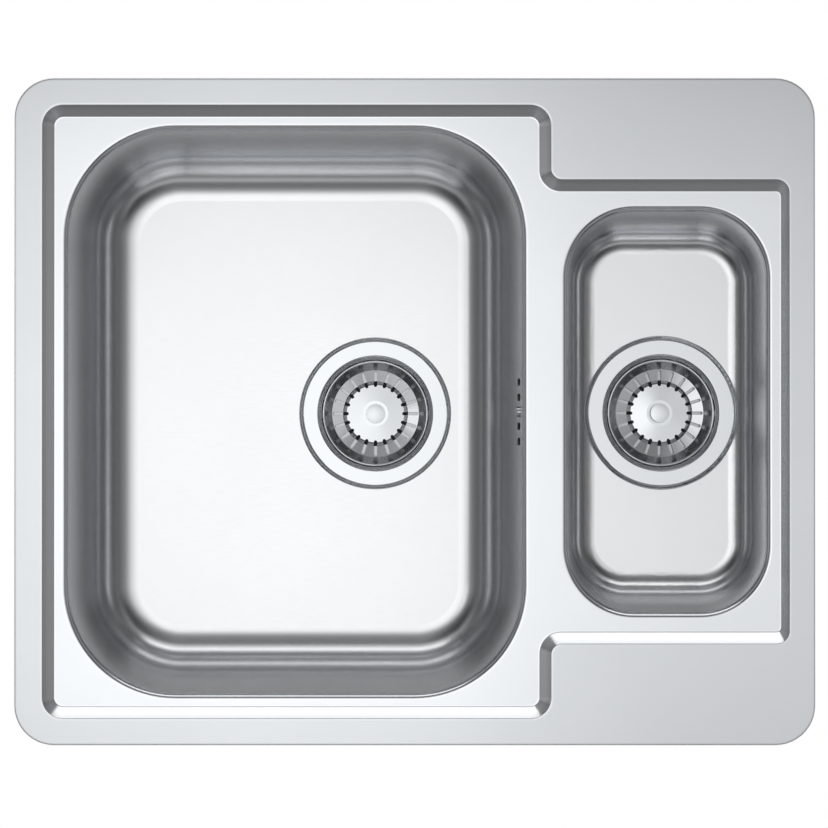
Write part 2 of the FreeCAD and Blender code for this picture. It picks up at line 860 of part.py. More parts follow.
def overflow_screw():
    """Domed screw that holds the overflow head from inside the bowl."""
    along = V(1, 0, 0)
    reach = sheet + overflow_seal_thick + overflow_screw_reach - overflow_slot_cut
    shank = Part.makeCylinder(overflow_screw_r, reach, V(-sheet, 0, 0), along)
    top = V(-sheet - overflow_head_height, 0, 0)
    head = Part.makeCylinder(overflow_head_r, overflow_head_height, top, along)
    crown = [e for e in head.Edges if e.BoundBox.XMax < -sheet - overflow_head_height / 2]
    head = head.makeFillet(overflow_head_height / 2, crown)
    cut_at = V(-sheet - overflow_head_height - overrun, -overflow_slot_cut / 2, -overflow_head_r)
    cut = Part.makeBox(overrun + overflow_slot_cut, overflow_slot_cut, 2 * overflow_head_r, cut_at)
    return placed(shank.fuse(head).cut(cut), overflow_frame())


# Clips, built with X towards the edge of the cut-out and the screw on the vertical axis
clip_nut_top = ledge_top - sheet - clip_top_gap - clip_travel
clip_plate_top = clip_nut_top - clip_nut_thick
clip_bracket_drop = clip_strap - clip_plate_top
claw_top = -clip_grip_depth - clip_toe_rise
claw_low = claw_top - claw_thick
washer_low = claw_low - washer_thick


def clip_bracket(seat):
    """Strap stirrup welded below the deck."""
    half = clip_bracket_half
    points = [
        (-half - clip_foot, seat - clip_strap),
        (-half, seat - clip_strap),
        (-half, -clip_bracket_drop),
        (half, -clip_bracket_drop),
        (half, seat - clip_strap),
        (half + clip_foot, seat - clip_strap),
    ]
    face = sheet_face([V(y, 0, z) for y, z in points], [clip_bend_r + clip_strap] * 4, clip_strap)
    strap = face.extrude(V(0, clip_bracket_width, 0))
    strap.translate(V(0, -clip_bracket_width / 2, 0))
    strap.rotate(CENTRE, UP, 90)
    hole_r = clip_screw_r + clip_hole_gap
    hole_low = V(0, 0, -clip_bracket_drop - overrun)
    return strap.cut(Part.makeCylinder(hole_r, clip_strap + 2 * overrun, hole_low))


def clip_nut():
    """Square nut held in the stirrup."""
    side = clip_nut_side
    nut = Part.makeBox(side, side, clip_nut_thick, V(-side / 2, -side / 2, clip_plate_top))
    return nut.cut(Part.makeCylinder(clip_screw_r + thread_gap, clip_nut_thick, V(0, 0, clip_plate_top)))


def clip_screw():
    """Hexagon screw that draws the claw up."""
    length = clip_nut_top - washer_low
    shank = Part.makeCylinder(clip_screw_r, length, V(0, 0, washer_low))
    corner_r = clip_head_across / math.sqrt(3)
    head_low = washer_low - clip_head_height
    corners = [V(corner_r, 0, head_low)]
    hexagon = [FreeCAD.Rotation(UP, i * 60).multVec(corners[0]) for i in range(7)]
    head = plate(Part.makePolygon(hexagon), clip_head_height)
    groove_at = V(-corner_r, -clip_head_slot / 2, head_low - overrun)
    groove = Part.makeBox(2 * corner_r, clip_head_slot, overrun + clip_head_slot_depth, groove_at)
    return shank.fuse(head).cut(groove)


def clip_washer():
    """Plain washer between the screw's head and the claw."""
    return ring(clip_screw_r + clip_hole_gap, washer_r, washer_low, claw_low)


def clip_claw():
    """Pressed channel with toothed toes, parked along the edge of the cut-out."""
    length = claw_heel + claw_reach
    centre_x = (claw_reach - claw_heel) / 2
    base = plate(rectangle(centre_x, 0, length, claw_width, claw_heel_r, claw_low), claw_thick)
    toe_start = claw_reach - claw_toe
    rise = clip_toe_rise
    points = [(-claw_heel + claw_heel_r, claw_low), (claw_reach - claw_heel_r, claw_low)]
    pitch = (claw_toe - claw_heel_r) / claw_tooth_count
    for i in range(claw_tooth_count):
        outer = claw_reach - claw_heel_r - i * pitch
        points.append((outer, claw_top + rise))
        points.append((outer - pitch, claw_top + rise - claw_tooth_depth))
    points.append((toe_start - claw_heel_r, claw_top + claw_side))
    points.append((-claw_heel + claw_heel_r, claw_top + claw_side))
    corners = [V(x, 0, z) for x, z in points]
    web = Part.Face(Part.makePolygon(corners + corners[:1])).extrude(V(0, claw_wall, 0))
    claw = base
    for y in (-claw_width / 2, claw_width / 2 - claw_wall):
        wall = web.copy()
        wall.translate(V(0, y, 0))
        claw = claw.fuse(wall)
    hole_r = clip_screw_r + clip_hole_gap
    claw = claw.cut(Part.makeCylinder(hole_r, claw_thick, V(0, 0, claw_low))).removeSplitter()
    claw.rotate(CENTRE, UP, 90)
    return claw


def clip_places():
    """Each clip's X, Y, direction towards the cut-out's edge, and the face it is welded to."""
    off = lip_reach + clip_gap + clip_bracket_width / 2
    under_ledge = ledge_top - sheet
    under_rim = rim_top - sheet
    places = []
    for share in left_clip_shares:
        places.append((main_left - off, share * rim_width, 180, under_ledge))
    for side, direction in ((1, 90), (-1, 270)):
        y = side * (main_half_y + off)
        places.append((main_clip_share * rim_length, y, direction, under_ledge))
        places.append((half_clip_share * rim_length, y, direction, under_rim))
    for share in right_clip_shares:
        places.append((half_right + off, share * rim_width, 0, under_ledge))
    return places


def at_place(shape, place):
    """Copy of a clip piece at its place."""
    x, y, direction, seat = place
    turn = FreeCAD.Rotation(UP, direction)
    return placed(shape, FreeCAD.Placement(V(x, y, 0), turn))


# Assembly
def waste_nodes(prefix, x, flange, with_inlet):
    """Fixed and lift-out pieces of one waste."""
    pieces = {
        "strainer_dish": strainer_dish(),
        "flange_seal": flange_seal(),
        "body_seal": body_seal(),
        "waste_body": waste_body(with_inlet),
        "centre_screw": centre_screw(),
        "insert_nut": insert_nut(),
        "basket": basket(),
        "basket_knob": basket_knob(),
        "stopper_hub": stopper_hub(),
        "stopper_seal": stopper_seal(),
    }
    at = FreeCAD.Placement(V(x, 0, flange), FreeCAD.Rotation())
    return {prefix + "_" + name: placed(shape, at) for name, shape in pieces.items()}


def clip_nodes():
    """Eight clips: brackets and nuts as groups, the moving pieces one by one."""
    places = clip_places()
    nodes = {
        "clip_brackets": Part.makeCompound([at_place(clip_bracket(place[3]), place) for place in places]),
        "clip_nuts": Part.makeCompound([at_place(clip_nut(), place) for place in places]),
    }
    for number, place in enumerate(places, 1):
        nodes["clip_washer_%d" % number] = at_place(clip_washer(), place)
        nodes["clip_screw_%d" % number] = at_place(clip_screw(), place)
        nodes["clip_claw_%d" % number] = at_place(clip_claw(), place)
    return nodes


def all_nodes():
    """Every piece of the sink, by name."""
    nodes = {
        "deck": deck(),
        "main_bowl": main_bowl(),
        "half_bowl": half_bowl(),
        "rim_seal": rim_seal(),
        "main_sound_pad": main_sound_pad(),
        "half_sound_pads": half_sound_pads(),
        "overflow_seal": overflow_seal(),
        "overflow_head": overflow_head(),
        "overflow_screw": overflow_screw(),
    }
    nodes.update(waste_nodes("main", main_waste_x, main_flange, True))
    nodes.update(waste_nodes("half", half_waste_x, half_flange, False))
    nodes.update(clip_nodes())
    return nodes


os.makedirs("parts", exist_ok=True)
for node, shape in all_nodes().items():
    shape.exportStep("parts/" + node + ".step")
    print(node, len(shape.Solids), "solids, volume", round(shape.Volume, 1), "valid", shape.isValid())
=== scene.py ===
import json
import math

import bpy
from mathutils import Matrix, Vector


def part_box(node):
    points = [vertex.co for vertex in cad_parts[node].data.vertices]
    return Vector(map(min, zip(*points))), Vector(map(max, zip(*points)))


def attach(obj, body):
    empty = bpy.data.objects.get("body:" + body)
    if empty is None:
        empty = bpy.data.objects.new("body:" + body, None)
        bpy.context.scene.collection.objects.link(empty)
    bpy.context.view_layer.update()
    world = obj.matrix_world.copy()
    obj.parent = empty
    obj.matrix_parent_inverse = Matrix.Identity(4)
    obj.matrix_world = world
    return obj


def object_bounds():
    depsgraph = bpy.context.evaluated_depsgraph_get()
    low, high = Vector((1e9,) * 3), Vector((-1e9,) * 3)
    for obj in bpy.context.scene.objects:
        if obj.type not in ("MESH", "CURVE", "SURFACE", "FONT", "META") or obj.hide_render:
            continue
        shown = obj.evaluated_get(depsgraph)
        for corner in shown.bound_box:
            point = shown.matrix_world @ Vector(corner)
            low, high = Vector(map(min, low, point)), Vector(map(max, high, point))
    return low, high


# Looks of an inset kitchen sink in stainless steel, seen from straight above.
# Lengths are in metres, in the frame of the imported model: origin in the middle
# of the worktop cut-out, +X towards the half bowl, +Y to the rear, +Z up.

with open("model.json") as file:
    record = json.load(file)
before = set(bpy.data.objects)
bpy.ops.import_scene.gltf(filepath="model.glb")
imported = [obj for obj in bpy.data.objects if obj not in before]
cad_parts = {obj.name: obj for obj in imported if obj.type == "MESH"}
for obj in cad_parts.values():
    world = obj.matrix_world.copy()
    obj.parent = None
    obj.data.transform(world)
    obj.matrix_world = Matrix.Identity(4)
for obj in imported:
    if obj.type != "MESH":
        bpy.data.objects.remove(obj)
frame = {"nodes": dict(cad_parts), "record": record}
cad_low, cad_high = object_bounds()
scene = bpy.context.scene

# The photograph's view, in which the origin shows at the centre pixel
IMAGE_SIZE = 828
METRES_PER_PIXEL = 0.0007485
CENTRE_PIXEL = (414.75, 411.5)
CAMERA_DISTANCE = 4.2
CAMERA_FORWARD = 0.035
SENSOR_WIDTH = 36.0
CLIP_NEAR = 0.1
CLIP_FAR = 100.0

# Studio
WHITE = (1.0, 1.0, 1.0)
ORIGIN = (0.0, 0.0, 0.0)
FLOOR_GAP = 0.02
FLOOR_SIZE = 14.0
FLOOR_COLOUR = (0.86, 0.86, 0.86)
FLOOR_ROUGH = 0.8
CANOPY_HEIGHT = 2.0
CANOPY_REACH = 2.5
CANOPY_RADIANCE = 1.27
# Share of the canopy's light along X and along Y, each at its place in metres
CANOPY_ALONG_X = (
    (-2.5, 0.10),
    (-1.9, 0.12),
    (-1.25, 0.18),
    (-0.97, 0.30),
    (-0.76, 0.52),
    (-0.52, 0.85),
    (-0.34, 0.97),
    (-0.10, 1.00),
    (0.06, 0.97),
    (0.10, 0.82),
    (0.22, 0.71),
    (0.32, 0.68),
    (0.42, 0.69),
    (0.55, 0.66),
    (0.80, 0.45),
    (1.30, 0.20),
    (2.5, 0.12),
)
CANOPY_ALONG_Y = (
    (-2.5, 0.12),
    (-1.9, 0.11),
    (-1.20, 0.15),
    (-0.82, 0.28),
    (-0.45, 0.85),
    (-0.25, 1.02),
    (0.05, 1.00),
    (0.24, 0.96),
    (0.36, 0.86),
    (0.53, 0.50),
    (0.80, 0.20),
    (2.5, 0.10),
)
# Soft box behind the sink
REAR_SIZE = (3.0, 0.9)
REAR_AT = (0.0, 2.6, 0.95)
REAR_RADIANCE = 1.2
# Low cards at both sides
CARD_SIZE = (0.8, 0.5)
CARD_DISTANCE = 2.2
CARD_HEIGHT = 0.72
CARD_RADIANCE = 0.22
# Small box under the canopy, left of the sink
PATCH_SIZE = (0.30, 0.50)
PATCH_AT = (-0.88, 0.12, 1.95)
PATCH_RADIANCE = 0.75
# Level of the sky for matt surfaces
WORLD_DIFFUSE = 0.75
# Level of the sky in gloss, at each height of the direction from the horizon up
WORLD_PROFILE = (
    (0.0, 0.21),
    (0.44, 0.14),
    (1.0, 0.05),
)
# Light added high up at the front and rear, where the square of the direction's Y is large
END_PROFILE = (
    (0.0, 0.0),
    (0.42, 0.0),
    (0.56, 0.45),
    (1.0, 0.45),
)
END_FROM = 0.15
END_TO = 0.45
# Light added low at the four corners, where the direction's X times its Y is large
CORNER_FROM = 0.20
CORNER_TO = 0.40
CORNER_LIGHT = 0.08

# Steel, whose strokes are long along an axis where their scale is small
STEEL_TINT = (0.972, 1.0, 1.03)
BOWL_TINT = (0.985, 1.0, 1.018)
DECK_STROKE = (60, 1400, 1400)
BOWL_STROKE = (90, 900, 500)
SATIN_STROKE = (900, 900, 900)
STROKE_DETAIL = 4.0
STROKE_ROUGH = 0.6
STROKE_STRENGTH = 0.02
STROKE_DEPTH = 0.000004
STROKE_SHARE = 0.3
STEEL_CLOUDS = 9.0
STEEL_TONE_SPREAD = 0.012
STEEL_ROUGH_SPREAD = 0.015
KNOB_CROWN = 0.6
# The deck darkens to this share between these heights, from the ledge up to the rim
RIM_SHADE = 0.84
RIM_FROM = 0.0
RIM_TO = 0.003
# Painted shade on a bowl's upper walls: they darken to this share between these heights above its
# bottom
WALL_PAINTED_SHADE = 0.66
WALL_FROM = 0.030
WALL_TO = 0.080
# The side that nobody sees in use is left as the press made it, darker and rougher
BACK_SHADE = 0.66
BACK_ROUGH = 0.12
ABOVE_DECK = (0.0, 0.0, 1.0)
# The shading bends over gently at the step's brow and at its foot on the ledge
EDGE_CROWN = 0.85
BROW_FROM = 0.0033
BROW_TO = 0.0038
FOOT_FROM = -0.0031
LEDGE = -0.0030
FOOT_TO = -0.0024
# Painted shade in a strainer dish's depths: it darkens to this share between these places below its
# flange
DISH_PAINTED_SHADE = 0.62
DISH_FROM = -0.022
DISH_TO = -0.010

# Moulded, rubber and plated surfaces
GRAIN_CLOUDS = 30.0
GRAIN_CLOUD_DETAIL = 4.0
GRAIN_ROUGH_SPREAD = 0.05
GRAIN_STRENGTH = 0.2
GRAIN_SCALE = 400.0
GRAIN_DEPTH = 0.00003

# Noise, and where most of it lies, taken as its whole range
NOISE_DETAIL = 3.0
NOISE_ROUGH = 0.5
NOISE_RANGE = (0.3, 0.7)
STROKE_RANGE = (0.25, 0.75)

# Sockets of a Mix node: its factor, and for each kind of data two inputs and the output
MIX_FACTOR = 0
MIX_NUMBERS = (2, 3, 0)
MIX_VECTORS = (4, 5, 1)
MIX_COLOURS = (6, 7, 2)

# Weld that joins each bowl to the deck's collar
BEAD_RADIUS = 0.00032
BEAD_SIDES = 8

# Points of a bowl's edge are one where they agree to this many decimals
EDGE_DECIMALS = 6

# Polished lip round each opening, a hair proud of the deck
LIP_RADIUS = 0.0045
LIP_DRAFT = math.radians(6.5)
LIP_MARGIN = 0.0010
LIP_PROUD = 0.00006
LIP_SKIN = 0.0003
LIP_STEPS = 24
SHARP_ANGLE = math.radians(40)

# Threads: an outlet's runs from its lead up, and a clip screw's from its head up
OUTLET_PITCH = 0.00231
OUTLET_THREAD = 0.020
OUTLET_LEAD = 0.0005
SCREW_PITCH = 0.0008
SCREW_HEAD = 0.0036
THREAD_STRENGTH = 0.8
THREAD_DEPTH = 0.0005


# Node helpers
def link(tree, socket, value):
    """A number is set on the socket, anything else is linked to it."""
    if isinstance(value, (int, float)):
        socket.default_value = value
    else:
        tree.links.new(value, socket)


def new_material(name):
    """Node material with only a shader and its output."""
    material = bpy.data.materials.new(name)
    material.use_nodes = True
    tree = material.node_tree
    tree.nodes.clear()
    shader = tree.nodes.new("ShaderNodeBsdfPrincipled")
    output = tree.nodes.new("ShaderNodeOutputMaterial")
    tree.links.new(shader.outputs["BSDF"], output.inputs["Surface"])
    return material, tree, shader


def object_place(tree):
    return tree.nodes.new("ShaderNodeTexCoord").outputs["Object"]


def axes_of(tree, vector):
    """X, Y and Z of a vector."""
    split = tree.nodes.new("ShaderNodeSeparateXYZ")
    tree.links.new(vector, split.inputs["Vector"])
    return [split.outputs[axis] for axis in "XYZ"]


def height_in(tree):
    """Height in the model's frame."""
    return axes_of(tree, object_place(tree))[2]


def scaled(tree, vector, scale):
    """Vector times a scale for each axis."""
    node = tree.nodes.new("ShaderNodeMapping")
    node.inputs["Scale"].default_value = scale
    tree.links.new(vector, node.inputs["Vector"])
    return node.outputs["Vector"]


def noise(tree, vector, scale, detail=NOISE_DETAIL, rough=NOISE_ROUGH):
    node = tree.nodes.new("ShaderNodeTexNoise")
    node.inputs["Scale"].default_value = scale
    node.inputs["Detail"].default_value = detail
    node.inputs["Roughness"].default_value = rough
    tree.links.new(vector, node.inputs["Vector"])
    return node.outputs["Fac"]


def calculated(tree, operation, *values):
    """Result of a Math node for numbers and sockets."""
    node = tree.nodes.new("ShaderNodeMath")
    node.operation = operation
    for socket, value in zip(node.inputs, values):
        link(tree, socket, value)
    return node.outputs["Value"]


def product(tree, first, second):
    return calculated(tree, "MULTIPLY", first, second)


def ranged(tree, value, low, high, out_low, out_high):
    """Value taken smoothly from one range to another, held at both ends."""
    node = tree.nodes.new("ShaderNodeMapRange")
    node.interpolation_type = "SMOOTHSTEP"
    tree.links.new(value, node.inputs["Value"])
    node.inputs["From Min"].default_value = low
    node.inputs["From Max"].default_value = high
    node.inputs["To Min"].default_value = out_low
    node.inputs["To Max"].default_value = out_high
    return node.outputs["Result"]


def profiled(tree, value, points):
    """Level along a line of places, straight between them."""
    start, end = points[0][0], points[-1][0]
    span = end - start
    share = calculated(tree, "MULTIPLY_ADD", value, 1 / span, -start / span)
    node = tree.nodes.new("ShaderNodeValToRGB")
    tree.links.new(share, node.inputs["Fac"])
    stops = node.color_ramp.elements
    while len(stops) < len(points):
        stops.new(1.0)
    for stop, (place, level) in zip(stops, points):
        stop.position = (place - start) / span
        stop.color = (level, level, level, 1)
    return node.outputs["Color"]


def mixed(tree, factor, dark, light):
    """Colour between a dark one and a light one."""
    node = tree.nodes.new("ShaderNodeMix")
    node.data_type = "RGBA"
    first, second, result = MIX_COLOURS
    tree.links.new(factor, node.inputs[MIX_FACTOR])
    node.inputs[first].default_value = (*dark, 1)
    node.inputs[second].default_value = (*light, 1)
    return node.outputs[result]


def bumped(tree, shader, height, strength, distance, crown=None):
    """Fine relief; a crown flattens the shading by that share."""
    node = tree.nodes.new("ShaderNodeBump")
    node.inputs["Strength"].default_value = strength
    node.inputs["Distance"].default_value = distance
    tree.links.new(height, node.inputs["Height"])
    tree.links.new(node.outputs["Normal"], shader.inputs["Normal"])
    if crown:
        geometry = tree.nodes.new("ShaderNodeNewGeometry")
        blend = tree.nodes.new("ShaderNodeMix")
        blend.data_type = "VECTOR"
        first, second, result = MIX_VECTORS
        link(tree, blend.inputs[MIX_FACTOR], crown)
        tree.links.new(geometry.outputs["Normal"], blend.inputs[first])
        blend.inputs[second].default_value = (0, 0, 1)
        level = tree.nodes.new("ShaderNodeVectorMath")
        level.operation = "NORMALIZE"
        tree.links.new(blend.outputs[result], level.inputs[0])
        tree.links.new(level.outputs["Vector"], node.inputs["Normal"])


def back_of(tree, point):
    """1 on the side that faces away from the point, and 0 on the side that faces it."""
    geometry = tree.nodes.new("ShaderNodeNewGeometry")
    away = tree.nodes.new("ShaderNodeVectorMath")
    away.operation = "SUBTRACT"
    tree.links.new(object_place(tree), away.inputs[0])
    away.inputs[1].default_value = point
    along = tree.nodes.new("ShaderNodeVectorMath")
    along.operation = "DOT_PRODUCT"
    tree.links.new(away.outputs["Vector"], along.inputs[0])
    tree.links.new(geometry.outputs["Normal"], along.inputs[1])
    return calculated(tree, "GREATER_THAN", along.outputs["Value"], 0.0)


def step_edges(tree):
    """Share of the crown at each height of the deck."""
    height = height_in(tree)
    brow = ranged(tree, height, BROW_FROM, BROW_TO, 0.0, EDGE_CROWN)
    foot = ranged(tree, height, LEDGE, FOOT_TO, EDGE_CROWN, 0.0)
    above_lip = ranged(tree, height, FOOT_FROM, LEDGE, 0.0, 1.0)
    return calculated(tree, "MULTIPLY_ADD", foot, above_lip, brow)


# Materials
def steel(name, bright, rough, stroke, shade=None, crown=None, tint=STEEL_TINT, polished=None):
    """Satin steel: very fine strokes, faint clouds and uneven roughness.

    The shade is (lower height, upper height, share below, share above); it darkens
    the colour with height, as painted shade on a bowl's upper walls and in a dish's
    depths, and as the deck's darker rim. The crown is a share or a function that
    gives one. The side that faces away from the point called polished is duller
    and rougher.
    """
    material, tree, shader = new_material(name)
    place = object_place(tree)
    clouds = noise(tree, place, STEEL_CLOUDS)
    strokes = noise(tree, scaled(tree, place, stroke), 1.0, STROKE_DETAIL, STROKE_ROUGH)
    tone = product(tree, strokes, STROKE_SHARE)
    tone = calculated(tree, "MULTIPLY_ADD", clouds, 1 - STROKE_SHARE, tone)
    tones = (bright - STEEL_TONE_SPREAD, bright + STEEL_TONE_SPREAD)
    level = ranged(tree, tone, *NOISE_RANGE, *tones)
    if shade:
        # Darker with height: painted shade on bowl walls and in dish depths, and the deck's darker rim
        level = product(tree, level, ranged(tree, height_in(tree), *shade))
    roughs = (rough - STEEL_ROUGH_SPREAD, rough + STEEL_ROUGH_SPREAD)
    spread = ranged(tree, strokes, *STROKE_RANGE, *roughs)
    if polished:
        back = back_of(tree, polished)
        level = product(tree, level, ranged(tree, back, 0, 1, 1, BACK_SHADE))
        spread = calculated(tree, "MULTIPLY_ADD", back, BACK_ROUGH, spread)
    colour = tree.nodes.new("ShaderNodeCombineColor")
    for socket, share in zip(colour.inputs, tint):
        link(tree, socket, product(tree, level, share))
    tree.links.new(colour.outputs["Color"], shader.inputs["Base Color"])
    shader.inputs["Metallic"].default_value = 1.0
    tree.links.new(spread, shader.inputs["Roughness"])
    flattened = crown(tree) if callable(crown) else crown
    bumped(tree, shader, strokes, STROKE_STRENGTH, STROKE_DEPTH, flattened)
    return material


def grained(name, dark, light, rough, metal, grain=GRAIN_SCALE, depth=GRAIN_DEPTH, thread=None):
    """Moulded, rubber or plated surface with a fine grain and faint clouds.

    The thread is its pitch, lowest height and highest height.
    """
    material, tree, shader = new_material(name)
    place = object_place(tree)
    clouds = noise(tree, place, GRAIN_CLOUDS, GRAIN_CLOUD_DETAIL)
    fine = noise(tree, place, grain)
    colour = mixed(tree, ranged(tree, clouds, *NOISE_RANGE, 0.0, 1.0), dark, light)
    tree.links.new(colour, shader.inputs["Base Color"])
    shader.inputs["Metallic"].default_value = metal
    roughs = (rough - GRAIN_ROUGH_SPREAD, rough + GRAIN_ROUGH_SPREAD)
    tree.links.new(ranged(tree, fine, *NOISE_RANGE, *roughs), shader.inputs["Roughness"])
    if thread:
        pitch, low, high = thread
        height = height_in(tree)
        turn = product(tree, height, 2 * math.pi / pitch)
        wave = calculated(tree, "MULTIPLY_ADD", calculated(tree, "SINE", turn), 0.5, 0.5)
        start = ranged(tree, height, low, low + pitch, 0.0, 1.0)
        end = ranged(tree, height, high - pitch, high, 1.0, 0.0)
        relief = product(tree, wave, product(tree, end, start))
        bumped(tree, shader, relief, THREAD_STRENGTH, THREAD_DEPTH)
    else:
        bumped(tree, shader, fine, GRAIN_STRENGTH, depth)
    return material


# Each steel's brightness, roughness and strokes
DECK_FINISH = (0.90, 0.20, DECK_STROKE)
BOWL_FINISH = (0.88, 0.23, BOWL_STROKE)
DISH_FINISH = (0.84, 0.20, SATIN_STROKE)
BASKET_FINISH = (0.82, 0.17, SATIN_STROKE)
BRIGHT_FINISH = (0.90, 0.15, SATIN_STROKE)
KNOB_FINISH = (0.90, 0.26, SATIN_STROKE)
WELD_FINISH = (0.93, 0.25, SATIN_STROKE)

# Each other surface's dark and light colour, roughness and metallic share
ZINC = ((0.55, 0.57, 0.60), (0.66, 0.67, 0.69), 0.35, 1.0)
CLAW = ((0.50, 0.52, 0.55), (0.62, 0.64, 0.66), 0.38, 1.0)
BRASS = ((0.66, 0.50, 0.22), (0.76, 0.60, 0.30), 0.28, 1.0)
FOAM = ((0.13, 0.13, 0.14), (0.18, 0.18, 0.19), 0.90, 0.0)
PAD = ((0.26, 0.27, 0.29), (0.33, 0.34, 0.36), 0.85, 0.0)
RUBBER = ((0.05, 0.05, 0.055), (0.075, 0.075, 0.08), 0.60, 0.0)
GREY = ((0.74, 0.74, 0.72), (0.80, 0.80, 0.78), 0.45, 0.0)
BLACK = ((0.06, 0.06, 0.065), (0.09, 0.09, 0.095), 0.50, 0.0)

# The grain's scale and depth on foam and on the sound pads
FOAM_GRAIN = (900.0, 0.0002)
PAD_GRAIN = (600.0, 0.0001)

DECK_SHADE = (RIM_FROM, RIM_TO, 1.0, RIM_SHADE)

materials = {
    "deck_steel": steel(
        "deck_steel",
        *DECK_FINISH,
        DECK_SHADE,
        crown=step_edges,
        polished=ABOVE_DECK,
    ),
    "lip_steel": steel("lip_steel", *DECK_FINISH),
    "basket_steel": steel("basket_steel", *BASKET_FINISH),
    "bright_steel": steel("bright_steel", *BRIGHT_FINISH),
    "knob_steel": steel("knob_steel", *KNOB_FINISH, crown=KNOB_CROWN),
    "weld_steel": steel("weld_steel", *WELD_FINISH),
    "zinc_steel": grained("zinc_steel", *ZINC),
    "claw_steel": grained("claw_steel", *CLAW),
    "brass": grained("brass", *BRASS),
    "foam": grained("foam", *FOAM, *FOAM_GRAIN),
    "damping_pad": grained("damping_pad", *PAD, *PAD_GRAIN),
    "seal_rubber": grained("seal_rubber", *RUBBER),
    "grey_plastic": grained("grey_plastic", *GREY),
    "black_plastic": grained("black_plastic", *BLACK),
}


def finish_of(name, slot_name):
    """Material of a node: its slot's own, or one fitted to the node's height, which on bowls and dishes
    holds painted shade.
    """
    lowest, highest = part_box(name)
    low, high = lowest.z, highest.z
    if slot_name == "bowl_steel":
        inside = tuple((lowest + highest) / 2)
        # Painted shade: the bowl's upper walls are darker in colour
        shade = (low + WALL_FROM, low + WALL_TO, 1.0, WALL_PAINTED_SHADE)
        return steel(name, *BOWL_FINISH, shade, tint=BOWL_TINT, polished=inside)
    if slot_name == "dish_steel":
        # Painted shade: the dish's depths are darker in colour
        shade = (high + DISH_FROM, high + DISH_TO, DISH_PAINTED_SHADE, 1.0)
        return steel(name, *DISH_FINISH, shade)
    if name.endswith("_waste_body"):
        thread = (OUTLET_PITCH, low + OUTLET_LEAD, low + OUTLET_THREAD)
        return grained(name, *GREY, thread=thread)
    if name.startswith("clip_screw_"):
        thread = (SCREW_PITCH, low + SCREW_HEAD, high)
        return grained(name, *ZINC, thread=thread)
    if name.endswith("_basket_knob"):
        return materials["knob_steel"]
    return materials[slot_name]


for part in frame["record"]["subparts"]:
    node = frame["nodes"][part["node"]]
    node.data.materials.clear()
    node.data.materials.append(finish_of(part["node"], part["material_slot"]))


# Welds and lips
def inner_edge(node):
    """Points of the inner edge round the top of a bowl, in order.

    Sides that two faces of the flat top share cancel out, and what is left are
    its inner and outer loops.
    """
    mesh, place = node.data, node.matrix_world
    points = [tuple(round(c, EDGE_DECIMALS) for c in place @ v.co) for v in mesh.vertices]
    top = max(p[2] for p in points)
    sides = {}
    for face in mesh.polygons:
        corners = [points[i] for i in face.vertices]
        if min(p[2] for p in corners) == top:
            for start, end in zip(corners, corners[1:] + corners[:1]):
                if (end, start) in sides:
                    del sides[end, start]
                else:
                    sides[start, end] = True
    following = {start: end for start, end in sides}
    loops = []
    while following:
        start = next(iter(following))
        loop = [start]
        while following.get(loop[-1]) not in (None, start):
            loop.append(following.pop(loop[-1]))
        following.pop(loop[-1])
        loops.append([Vector(p) for p in loop])
    return min(loops, key=lambda loop: max(p.x for p in loop))


def counterclockwise(points):
    """The same level loop, turning to the left as seen from above."""
    area = sum(a.x * b.y - b.x * a.y for a, b in zip(points, points[1:] + points[:1]))
    return points if area > 0 else points[::-1]


def swept(name, points, section, material):
    """Closed bar along a level loop of points.

    The section is a loop of places, each out from the line and up from it.
    """
    vertices, faces = [], []
    count, sides = len(points), len(section)
    up = Vector((0, 0, 1))
    for i, point in enumerate(points):
        way = (points[(i + 1) % count] - points[i - 1]).normalized()
        out = way.cross(up)
        for j, (across, rise) in enumerate(section):
            vertices.append(point + across * out + rise * up)
            ahead, beside = (i + 1) % count, (j + 1) % sides
            faces.append((i * sides + j, ahead * sides + j, ahead * sides + beside, i * sides + beside))
    mesh = bpy.data.meshes.new(name)
    mesh.from_pydata(vertices, [], faces)
    mesh.shade_smooth()
    mesh.set_sharp_from_angle(angle=SHARP_ANGLE)
    mesh.materials.append(material)
    piece = bpy.data.objects.new(name, mesh)
    scene.collection.objects.link(piece)
    return piece


def bead_section():
    """Round section of a weld."""
    turns = (2 * math.pi * j / BEAD_SIDES for j in range(BEAD_SIDES))
    return [(BEAD_RADIUS * math.cos(turn), BEAD_RADIUS * math.sin(turn)) for turn in turns]


def lip_section(rise):
    """Thin skin over a lip that rises this far above the bowl's edge."""
    foot = rise - LIP_RADIUS * (1 - math.sin(LIP_DRAFT))
    centre = foot * math.tan(LIP_DRAFT) + LIP_RADIUS * math.cos(LIP_DRAFT)
    tilts = [(math.pi / 2 - LIP_DRAFT) * step / LIP_STEPS for step in range(LIP_STEPS + 1)]
    sides = []
    for proud in (LIP_PROUD, LIP_PROUD - LIP_SKIN):
        side = [(centre + LIP_MARGIN, rise + proud)]
        for tilt in tilts:
            reach = LIP_RADIUS + proud
            side.append((centre - reach * math.sin(tilt), rise - LIP_RADIUS + reach * math.cos(tilt)))
        sides.append(side)
    return sides[0] + sides[1][::-1]


for bowl in ("main_bowl", "half_bowl"):
    line = counterclockwise(inner_edge(frame["nodes"][bowl]))
    bead = swept(bowl + "_weld", line, bead_section(), materials["weld_steel"])
    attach(bead, "sink")
    lip = swept(bowl + "_lip", line, lip_section(LEDGE - line[0].z), materials["lip_steel"])
    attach(lip, "sink")


